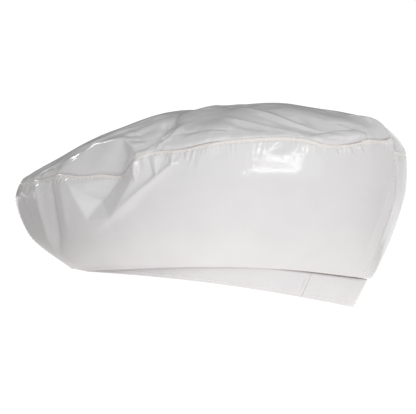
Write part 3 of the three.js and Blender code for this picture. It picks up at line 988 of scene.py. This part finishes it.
def stitch_line(name, path, normals, pitch=PITCH, length=STITCH, radius=THREAD):
    """Separate stitches along a path of points, each a short thread that dives in at both ends."""
    line = along_line(path)
    count = int(line[-1] // pitch)
    points, faces = [], []
    rings, sides = 7, 6
    s = np.linspace(-0.5, 0.5, rings)
    turn = np.arange(sides) / sides * 2 * math.pi
    for i in range(count):
        at = (i + 0.5) * line[-1] / count + s * length
        centre, normal = on_line(at, line, path), unit(on_line(at, line, normals))
        side = unit(np.cross(normal, unit(centre[-1] - centre[0])))
        centre = centre + normal * ((np.cos(s * math.pi) ** 0.6 - 0.75) * 2 * radius)[:, None]
        thick = radius * (0.7 + 0.3 * np.cos(s * math.pi))
        across, up = np.cos(turn)[None, :, None], np.sin(turn)[None, :, None]
        ring = across * side[:, None] + up * normal[:, None]
        ring = centre[:, None] + thick[:, None, None] * ring
        start = len(points) * (rings * sides)
        points.append(ring.reshape(-1, 3))
        faces += tube_faces(rings, sides, start)
    return mesh_object(name, np.concatenate(points), faces, [THREAD_MATERIAL])


def tube_faces(rings, sides, start):
    """Quads round a tube, and a flat face over each end."""
    faces = grid_faces(rings, sides, ring=True, start=start)
    first = [start + k for k in range(sides)]
    last = [start + (rings - 1) * sides + k for k in range(sides)]
    return faces + [first[::-1], last]


# ---- materials ----
NOISE_RANGE = (0.3, 0.7)  # the part of a noise's range that its colours and roughness use


def new_material(name, color, roughness, **sockets):
    """A principled material, with sockets of its shader set by their names, _ for each space."""
    material = bpy.data.materials.new(name)
    material.use_nodes = True
    shader = material.node_tree.nodes["Principled BSDF"]
    shader.inputs["Base Color"].default_value = (*color, 1)
    shader.inputs["Roughness"].default_value = roughness
    for key, value in sockets.items():
        shader.inputs[key.replace("_", " ")].default_value = value
    return material, shader


def node(material, kind, inputs=None, **settings):
    """A new node of a material or a world. Its inputs are values, or sockets to link to."""
    made = material.node_tree.nodes.new(kind)
    for key, value in settings.items():
        setattr(made, key, value)
    for key, value in (inputs or {}).items():
        if isinstance(value, bpy.types.NodeSocket):
            material.node_tree.links.new(value, made.inputs[key])
        else:
            made.inputs[key].default_value = value
    return made


def place(material):
    return node(material, "ShaderNodeTexCoord").outputs["Object"]


def noise(material, scale, detail=3.0):
    inputs = {"Vector": place(material), "Scale": scale, "Detail": detail, "Roughness": 0.5}
    return node(material, "ShaderNodeTexNoise", inputs).outputs["Fac"]


def threads(material, pitch, way):
    """A wave for each thread of a weave, with the given pitch in millimetres."""
    inputs = {"Vector": place(material), "Scale": 1 / (pitch * MM) / 20 * math.pi}
    inputs |= {"Distortion": 0.4, "Detail": 2.0, "Detail Scale": 1.5}
    return node(material, "ShaderNodeTexWave", inputs, bands_direction=way).outputs["Fac"]


def calc(material, operation, a, b):
    return node(material, "ShaderNodeMath", {0: a, 1: b}, operation=operation).outputs[0]


def weave_of(material, pitch):
    """Two sets of threads that cross."""
    warp, weft = threads(material, pitch, "DIAGONAL"), threads(material, pitch, "Z")
    return calc(material, "MULTIPLY", warp, weft)


def vary_color(material, shader, fac, light, dark):
    ramp = node(material, "ShaderNodeValToRGB", {"Fac": fac})
    stops = zip(ramp.color_ramp.elements, NOISE_RANGE, (dark, light))
    for stop, position, color in stops:
        stop.position, stop.color = position, (*color, 1)
    material.node_tree.links.new(ramp.outputs["Color"], shader.inputs["Base Color"])


def vary_roughness(material, shader, fac, low, high):
    inputs = {"Value": fac, "To Min": low, "To Max": high}
    inputs |= {"From Min": NOISE_RANGE[0], "From Max": NOISE_RANGE[1]}
    ranged = node(material, "ShaderNodeMapRange", inputs)
    material.node_tree.links.new(ranged.outputs["Result"], shader.inputs["Roughness"])


def bump(material, shader, layers, coat=False):
    """Bumps from (height, distance in millimetres) layers, one on top of the other."""
    normal = None
    for height, distance in layers:
        inputs = {"Height": height, "Distance": distance * MM, "Strength": 1.0}
        if normal is not None:
            inputs["Normal"] = normal
        normal = node(material, "ShaderNodeBump", inputs).outputs["Normal"]
    material.node_tree.links.new(normal, shader.inputs["Normal"])
    if coat:
        material.node_tree.links.new(normal, shader.inputs["Coat Normal"])


def weave_material(name, light, dark, pitch, roughness, depth, fuzz=0.15):
    """Plain woven cloth: two sets of threads that cross, with slubs and a little fuzz."""
    sheen = {"Sheen_Weight": fuzz, "Sheen_Roughness": 0.5}
    material, shader = new_material(name, light, roughness, **sheen)
    weave = weave_of(material, pitch)
    slubs = calc(material, "ADD", noise(material, 90), calc(material, "MULTIPLY", weave, 0.2))
    vary_color(material, shader, slubs, light, dark)
    vary_roughness(material, shader, noise(material, 400), roughness - 0.06, roughness + 0.06)
    bump(material, shader, [(weave, depth), (noise(material, 900), depth * 0.6)])
    return material


def coated_material(name, light, dark):
    """White cloth under a smooth glossy film that shows the weave faintly."""
    coat = {"Coat_Weight": 0.7, "Coat_Roughness": 0.11, "Coat_IOR": 1.5}
    material, shader = new_material(name, light, 0.4, Specular_IOR_Level=0.5, **coat)
    vary_color(material, shader, noise(material, 26, 5), light, dark)
    vary_roughness(material, shader, noise(material, 60, 4), 0.30, 0.42)
    uneven_film = [(noise(material, 45, 2), 0.2), (noise(material, 240, 2), 0.03)]
    bump(material, shader, uneven_film + [(weave_of(material, 0.45), 0.008)], coat=True)
    return material


COATED = coated_material("coated_cloth_face", (0.772, 0.757, 0.774), (0.722, 0.707, 0.726))
SEAM_EDGE = coated_material("coated_cloth_seam", (0.84, 0.80, 0.785), (0.79, 0.75, 0.735))
BACKING, COTTON, TAPE, FELT, ELASTIC, THREAD_MATERIAL, LABEL = (
    weave_material(*look)
    for look in (
        ("coated_cloth_back", (0.80, 0.79, 0.77), (0.74, 0.73, 0.71), 0.5, 0.85, 0.05),
        ("sweatband_twill", (0.80, 0.78, 0.73), (0.73, 0.70, 0.65), 0.8, 0.9, 0.09, 0.3),
        ("binding_weave", (0.78, 0.75, 0.71), (0.70, 0.67, 0.63), 0.7, 0.85, 0.08),
        ("interlining_felt", (0.86, 0.85, 0.82), (0.80, 0.79, 0.76), 1.1, 0.95, 0.12, 0.4),
        ("elastic_rib", (0.86, 0.85, 0.83), (0.76, 0.75, 0.73), 1.4, 0.8, 0.15),
        ("sewing_thread", (0.93, 0.90, 0.88), (0.86, 0.83, 0.80), 0.5, 0.5, 0.03),
        ("label_satin", (0.88, 0.88, 0.86), (0.83, 0.83, 0.81), 0.35, 0.5, 0.02),
    )
)

# ---- crown and wall ----
PIECES = {}


def keep(piece, slot, *replaced):
    """Hides the CAD nodes that the piece stands for, and keeps the piece by its name. The slot is
    not used.
    """
    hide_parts(*replaced)
    PIECES[piece.name] = piece
    return piece


CLOTH_PAIR = [COATED, BACKING]
crown = keep(crown_panel("crown_tip_cloth", CLOTH_PAIR), "coated_cloth", "crown_tip")
WALL_PANELS = {
    "wall_left": (SIDE_COLUMNS, left_angle),
    "wall_right": (SIDE_COLUMNS, right_angle),
    "wall_nape": (NAPE_COLUMNS, nape_angle),
}
for replaced, (columns, angle_at) in WALL_PANELS.items():
    panel = wall_panel(f"{replaced}_cloth", columns, angle_at, [*CLOTH_PAIR, SEAM_EDGE])
    keep(panel, "coated_cloth", replaced)


# ---- headband ----
def band_normal(angle):
    across = band_face(angle + NUDGE, 0.5) - band_face(angle - NUDGE, 0.5)
    return unit(np.stack([across[..., 1], -across[..., 0], 0 * across[..., 0]], -1))


def nape_gather(angle):
    """How much the elastic gathers the band: nothing in front, and most at the nape."""
    turned = np.arctan2(np.sin(angle), np.cos(angle))
    wave = np.sin(turned * 22 + 1.3 * np.sin(turned * 9)) + 0.5 * np.sin(turned * 37 + 1)
    return 0.22 * wave * smooth(ELASTIC_HALF_ANGLE - np.abs(turned), -0.02, 0.25)


def free_to_gather(height):
    """How freely the band gathers at a height: not at its two sewn edges, and most between them."""
    return np.sin(np.clip(height / BAND_HEIGHT, 0, 1) * math.pi) ** 0.7


def band_strip(name, ends, columns, profile, thickness, materials, gather=1.0):
    """A strip of the band along a profile of (depth inwards, height) points."""
    angle = np.linspace(*ends, columns)[None, :]
    depth, height = (np.array(column)[:, None] for column in zip(*profile))
    points = band_face(angle, height / BAND_HEIGHT)
    waves = gather * nape_gather(angle) * free_to_gather(height)
    points = points + band_normal(angle) * (waves - depth)[..., None]
    piece = mesh_object(name, points, grid_faces(len(profile), columns), materials)
    return thicken(piece, thickness, backed=len(materials) > 1)


GAP_ANGLE = 0.06 / BAND_RADIUS  # half of the gap between the band's front part and its casing
FRONT_ENDS = (ELASTIC_HALF_ANGLE + GAP_ANGLE, 2 * math.pi - ELASTIC_HALF_ANGLE - GAP_ANGLE)
NAPE_ENDS = (GAP_ANGLE - ELASTIC_HALF_ANGLE, ELASTIC_HALF_ANGLE - GAP_ANGLE)
BAND_DEPTH = 2.6
EDGE_UP = CLOTH / 2
ELASTIC_WIDTH = 14
ELASTIC_LOW = (BAND_HEIGHT - ELASTIC_WIDTH) / 2
INSIDE_BAND = 1.35  # how deep in the band its elastic and its interlining are
LABEL_HALF_ANGLE = 12 / BAND_RADIUS


def upright(depth, low, high, count):
    return [(depth, height) for height in np.linspace(low, high, count)]


# The outer strip turns in under the band: its turned edge, the rim's rounded fold, and its face.
STRIP_PROFILE = [(BAND_DEPTH - 0.1, EDGE_UP + 0.15), (BAND_DEPTH - 0.8, EDGE_UP)]
STRIP_PROFILE += [(1.4, EDGE_UP), (0.9, EDGE_UP)]
STRIP_PROFILE += [
    (EDGE_UP + 0.5 - 0.5 * math.sin(t), EDGE_UP + 0.5 - 0.5 * math.cos(t))
    for t in (0.4, 0.8, 1.2, math.pi / 2)
]
STRIP_PROFILE += upright(EDGE_UP, 1.5, BAND_HEIGHT - EDGE_UP, 14)
SWEAT_PROFILE = upright(BAND_DEPTH - 0.35, 1.3, BAND_HEIGHT - 0.3, 12)
ELASTIC_PROFILE = upright(INSIDE_BAND, ELASTIC_LOW, ELASTIC_LOW + ELASTIC_WIDTH, 10)
LINING_PROFILE = upright(INSIDE_BAND, 1.2, BAND_HEIGHT - 1.2, 10)
LABEL_PROFILE = [
    (BAND_DEPTH + 0.75 + 0.5 * math.sin((21 - h) / 5), h) for h in np.linspace(6, 21, 10)
]
LABEL_ENDS = (-LABEL_HALF_ANGLE, LABEL_HALF_ANGLE)


def keep_strips(slot, thickness, materials, *strips, gather=1.0):
    for name, replaced, ends, columns, profile in strips:
        strip = band_strip(name, ends, columns, profile, thickness, materials, gather)
        keep(strip, slot, replaced)


keep_strips(
    "coated_cloth",
    CLOTH,
    CLOTH_PAIR,
    ("headband_cloth", "headband", FRONT_ENDS, 420, STRIP_PROFILE),
    ("nape_casing_cloth", "nape_casing", NAPE_ENDS, 220, STRIP_PROFILE),
)
keep_strips(
    "sweatband_cotton",
    0.6,
    [COTTON],
    ("sweatband_strip", "sweatband", FRONT_ENDS, 360, SWEAT_PROFILE),
    ("nape_sweatband_strip", "nape_sweatband", NAPE_ENDS, 200, SWEAT_PROFILE),
)
elastic = ("nape_elastic_strip", "nape_elastic", NAPE_ENDS, 200, ELASTIC_PROFILE)
keep_strips("elastic", 0.45, [ELASTIC], elastic)
lining = ("interlining_strip", "headband_interlining", FRONT_ENDS, 300, LINING_PROFILE)
keep_strips("interlining", 0.7, [FELT], lining)
label = ("size_label_tag", "size_label", LABEL_ENDS, 24, LABEL_PROFILE)
keep_strips("label", 0.3, [LABEL], label, gather=0.4)

# ---- binding tapes, inside, over each seam's raw edges ----
TAPE_LIFT = -1.25
TAPE_WIDTH = 10
TAPE_THICKNESS = 0.5
UPRIGHTS = {
    "front_seam": lambda share: math.pi + 0 * share,
    "nape_seam_left": lambda share: -nape_seam(share),
    "nape_seam_right": nape_seam,
}


def keep_tape(seam, points, ring=False):
    faces = grid_faces(*points.shape[:2], ring=ring)
    tape = thicken(mesh_object(f"{seam}_tape", points, faces, [TAPE]), TAPE_THICKNESS, backed=False)
    keep(tape, "binding_tape", f"{seam}_binding")


ring_angle = np.linspace(0, 2 * math.pi, 560, endpoint=False)[None, :]
ring_off = np.linspace(1.5, 1.5 + TAPE_WIDTH, 7)[:, None]
ring_share = WALL.share_at(np.broadcast_to(ring_angle, (7, 560)), ring_off)
keep_tape("crown_seam", WALL.at(ring_angle, ring_share, TAPE_LIFT)[::-1], ring=True)
for seam, seam_angle in UPRIGHTS.items():
    share = np.linspace(0.56, 0.86, 90)[:, None]
    across = np.linspace(-1, 1, 9)[None, :] * (TAPE_WIDTH / 2 / WALL_RADIUS)
    keep_tape(seam, WALL.at(seam_angle(share) + across, share, TAPE_LIFT))

# ---- stitching ----
LIFT = CLOTH / 2 + 0.05
UPRIGHT_LIFT = CLOTH / 2 - 0.12
FINE_THREAD, TACK_THREAD = 0.24, 0.26
STITCH_HEIGHT = 3  # from the rim up to the band's line of stitches
TACK_IN = 3 / BAND_RADIUS  # how far the tacks are beyond the ends of the elastic's casing


def wall_stitches(seam, angle, share, lift, radius):
    path, normals = WALL.at(angle, share, lift), WALL.normal(angle, share)
    line = stitch_line(f"{seam}_stitches", path, normals, radius=radius)
    keep(line, "thread", f"{seam}_stitching")


ring_angle = np.linspace(-math.pi, math.pi, 1601)
ring_share = WALL.share_at(ring_angle, np.full(ring_angle.shape, STITCH_OFF))
wall_stitches("crown_seam", ring_angle, ring_share, LIFT, THREAD)
for seam, seam_angle in UPRIGHTS.items():
    side = -1 if seam == "nape_seam_left" else 1
    share = np.linspace(0.57, 0.97, 300)
    angle = seam_angle(share) + side * STITCH_OFF / WALL_RADIUS
    wall_stitches(seam, angle, share, UPRIGHT_LIFT, FINE_THREAD)
for name, ends in (("headband", FRONT_ENDS), ("nape", NAPE_ENDS)):
    angle = np.linspace(ends[0] + 0.05, ends[1] - 0.05, 900)
    out = band_normal(angle)
    lift = nape_gather(angle) * free_to_gather(STITCH_HEIGHT) + 0.03
    path = band_face(angle, STITCH_HEIGHT / BAND_HEIGHT) + out * lift[:, None]
    line = stitch_line(f"{name}_stitches", path, out, radius=FINE_THREAD)
    keep(line, "thread", f"{name}_stitching")

# A bar of close stitches across each end of the elastic.
for name, side in (("elastic_tack_left", -1), ("elastic_tack_right", 1)):
    height = np.linspace(4.5, BAND_HEIGHT - 4.5, 200)
    angle = np.full(height.shape, side * (ELASTIC_HALF_ANGLE + TACK_IN))
    out = band_normal(angle)
    path = band_face(angle, height / BAND_HEIGHT) + out * 0.06
    bar = stitch_line(f"{name}_bar", path, out, pitch=0.62, length=0.6, radius=TACK_THREAD)
    keep(bar, "thread", name)

# ---- the crown hangs from an empty for the cap, and the other pieces' transforms go into their meshes ----
for piece in PIECES.values():
    if piece is crown:
        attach(piece, "cap")
    else:
        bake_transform(piece)

# ---- camera, floor and light ----
CENTRE = np.array([(FRONT + BACK) / 2 - 0.6, 0, 59.3]) * MM  # in the middle of the picture
SIGHT = 3.0  # metres from there to the camera
FRAME_WIDTH = 0.308  # metres across the picture
ROLL = math.radians(7.6)  # the cap dips to its nape in the picture

camera = bpy.data.objects.new("camera", bpy.data.cameras.new("camera"))
bpy.context.scene.collection.objects.link(camera)
camera.data.lens = camera.data.sensor_width * SIGHT / FRAME_WIDTH
camera.data.clip_end = 30
camera.location = CENTRE + np.array([0, -SIGHT, 0])
camera.rotation_euler = (math.pi / 2, -ROLL, 0)
bpy.context.scene.camera = camera


def bright_paint(name, color, roughness, glow):
    """Paint for the floor and the cards, so pale and evenly lit that it shines a little."""
    light = {"Emission_Color": (1, 1, 1, 1), "Emission_Strength": glow}
    return new_material(name, color, roughness, **light)


FLOOR_PAINT, shader = bright_paint("floor_paint", (0.12, 0.12, 0.12), 0.8, 0.97)
shader.inputs["Specular IOR Level"].default_value = 0.0
vary_roughness(FLOOR_PAINT, shader, noise(FLOOR_PAINT, 3), 0.75, 0.85)
FLOOR_RADIUS = 9000
angles = np.arange(96) / 96 * 2 * math.pi
disc = [FLOOR_RADIUS * np.cos(angles), FLOOR_RADIUS * np.sin(angles), 0 * angles - 0.2]
floor = mesh_object("floor", np.stack(disc, -1), [list(range(96))], [FLOOR_PAINT])


def soft_box(name, place_mm, size_mm, power, turn=0.0):
    """An area light of a power in watts that faces the cap, turned about its own axis."""
    light = bpy.data.lights.new(name, "AREA")
    light.shape, light.size, light.size_y = "RECTANGLE", size_mm[0] * MM, size_mm[1] * MM
    light.energy = power
    lamp = bpy.data.objects.new(name, light)
    bpy.context.scene.collection.objects.link(lamp)
    lamp.location = [c * MM for c in place_mm]
    aim = Vector((0, 0, 70)) - Vector(place_mm)
    lamp.rotation_euler = (aim.to_track_quat("-Z", "Y") @ Quaternion((0, 0, 1), turn)).to_euler()
    lamp.visible_camera = False
    return lamp


soft_box("key_light", (430, -1500, 400), (620, 90), 2.2, turn=0.2)
soft_box("left_light", (-900, 800, 1100), (120, 300), 1.6)
soft_box("top_light", (-200, 800, 1350), (900, 80), 0.35)
soft_box("nape_light", (1100, -300, 1300), (600, 600), 1.8)


def stage_card(name, points, faces, material):
    """A card that lights the cap, and that the camera doesn't see."""
    card = mesh_object(name, points, faces, [material])
    card.visible_camera = False


def grey_card(name, corners, fade, glows):
    """A grey card on the floor, which stands up at its far end. It fades into the floor or from
    it across fade, from the first glow to the second."""
    warm = {"Emission_Color": (1, 0.98, 0.96, 1), "Specular_IOR_Level": 0.0}
    material, shader = new_material(f"{name}_paint", (0.15, 0.15, 0.15), 0.9, **warm)
    ways = {0: place(material), 1: (1, 0.13, 0)}
    across = node(material, "ShaderNodeVectorMath", ways, operation="DOT_PRODUCT")
    inputs = {"Value": across.outputs["Value"], "From Min": fade[0] * MM, "From Max": fade[1] * MM}
    inputs |= {"To Min": glows[0], "To Max": glows[1]}
    faded = node(material, "ShaderNodeMapRange", inputs, interpolation_type="SMOOTHSTEP")
    material.node_tree.links.new(faded.outputs["Result"], shader.inputs["Emission Strength"])
    points = [(x, y, 0.3) for x, y in corners] + [(x, y, 360) for x, y in corners[:2]]
    stage_card(name, points, [[0, 1, 2, 3], [1, 0, 4, 5]], material)


# Grey cards on both sides of the cap keep light off its brow and its nape.
brow_corners = [(-480, 320), (-480, -800), (98, -800), (58, 320)]
nape_corners = [(620, -800), (620, 320), (60, 320), (100, -800)]
grey_card("brow_card", brow_corners, (-170, -20), (0.38, 0.97))
grey_card("nape_card", nape_corners, (110, 330), (0.97, 0.42))

# A white card behind the nape shows in the gloss of the nape panel.
WHITE_PAINT, shader = bright_paint("white_card", (0.6, 0.6, 0.6), 0.9, 0.3)
vary_roughness(WHITE_PAINT, shader, noise(WHITE_PAINT, 3), 0.85, 0.95)
white_corners = [(260, 1400, 1), (1500, 800, 1), (1500, 800, 620), (260, 1400, 620)]
stage_card("white_card", white_corners, [[0, 1, 2, 3]], WHITE_PAINT)

# The room is brightest in front of the cap and to its right, and dim overhead and to its left.
# Behind the cap it is plain white.
BRIGHT_WAY = (0.06, -0.84, -0.32)
ROOM_FALLOFF, ROOM_LIGHT, BACKDROP_LIGHT = 1.1, 1.28, 1.06
room = bpy.data.worlds.new("studio")
bpy.context.scene.world = room
room.use_nodes = True
ways = {0: node(room, "ShaderNodeTexCoord").outputs["Generated"], 1: BRIGHT_WAY}
facing = node(room, "ShaderNodeVectorMath", ways, operation="DOT_PRODUCT")
inputs = {"Value": facing.outputs["Value"], "From Min": -1, "From Max": 1, "To Min": 0.1}
ranged = node(room, "ShaderNodeMapRange", inputs).outputs["Result"]
bright = calc(room, "MULTIPLY", calc(room, "POWER", ranged, ROOM_FALLOFF), ROOM_LIGHT)
is_backdrop = node(room, "ShaderNodeLightPath").outputs["Is Camera Ray"]
inputs = {"Factor": is_backdrop, "A": bright, "B": BACKDROP_LIGHT}
seen = node(room, "ShaderNodeMix", inputs).outputs["Result"]
background = room.node_tree.nodes["Background"].inputs
room.node_tree.links.new(seen, background["Strength"])
background["Color"].default_value = (0.98, 1.0, 0.975, 1)
bpy.context.scene.view_settings.view_transform = "Standard"
